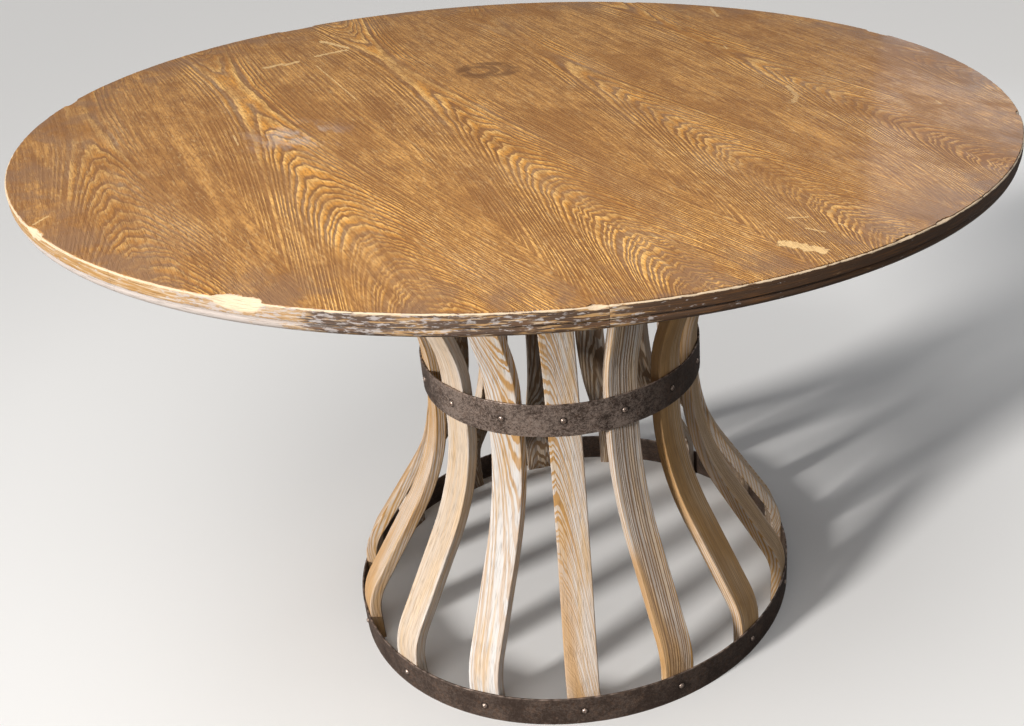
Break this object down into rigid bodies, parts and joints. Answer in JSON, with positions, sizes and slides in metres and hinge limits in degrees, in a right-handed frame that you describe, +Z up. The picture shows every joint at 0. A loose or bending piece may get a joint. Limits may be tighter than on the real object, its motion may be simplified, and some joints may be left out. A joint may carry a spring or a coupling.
{
  "type": "dining table",
  "caption": "Round dining table: a veneered top with a moulded rim on an hourglass pedestal of bent wooden staves bound by steel hoops.",
  "frame": {"origin": "middle of the foot, on the floor", "axes": "+Z up, -Y to the front, through the middle of the first stave"},
  "size_m": [1.219, 1.219, 0.762],
  "materials": {
    "top_veneer": "satin brown stain",
    "rim_wood": "dark stain, worn",
    "stave_wood": "limed, matt",
    "core_plywood": "raw plywood",
    "backing_veneer": "sealed",
    "hoop_steel": "dark patinated steel",
    "screw_steel": "dull steel"
  },
  "bodies": {
    "root": {"backing_veneer": "backing_veneer", "base_hoop": "hoop_steel", "base_hoop_screws": "screw_steel", "mounting_disc": "core_plywood", "rim_segment_1": "rim_wood", "rim_segment_2": "rim_wood", "rim_segment_3": "rim_wood", "rim_segment_4": "rim_wood", "rim_segment_5": "rim_wood", "rim_segment_6": "rim_wood", "rim_segment_7": "rim_wood", "rim_segment_8": "rim_wood", "stave_01": "stave_wood", "stave_02": "stave_wood", "stave_03": "stave_wood", "stave_04": "stave_wood", "stave_05": "stave_wood", "stave_06": "stave_wood", "stave_07": "stave_wood", "stave_08": "stave_wood", "stave_09": "stave_wood", "stave_10": "stave_wood", "stave_11": "stave_wood", "stave_12": "stave_wood", "stave_13": "stave_wood", "stave_14": "stave_wood", "stave_15": "stave_wood", "stave_head_screws": "screw_steel", "top_core": "core_plywood", "top_screws": "screw_steel", "veneer_leaf_1": "top_veneer", "veneer_leaf_2": "top_veneer", "veneer_leaf_3": "top_veneer", "veneer_leaf_4": "top_veneer", "veneer_leaf_5": "top_veneer", "veneer_leaf_6": "top_veneer", "waist_hoop": "hoop_steel", "waist_hoop_screws": "screw_steel"}
  },
  "joints": []
}
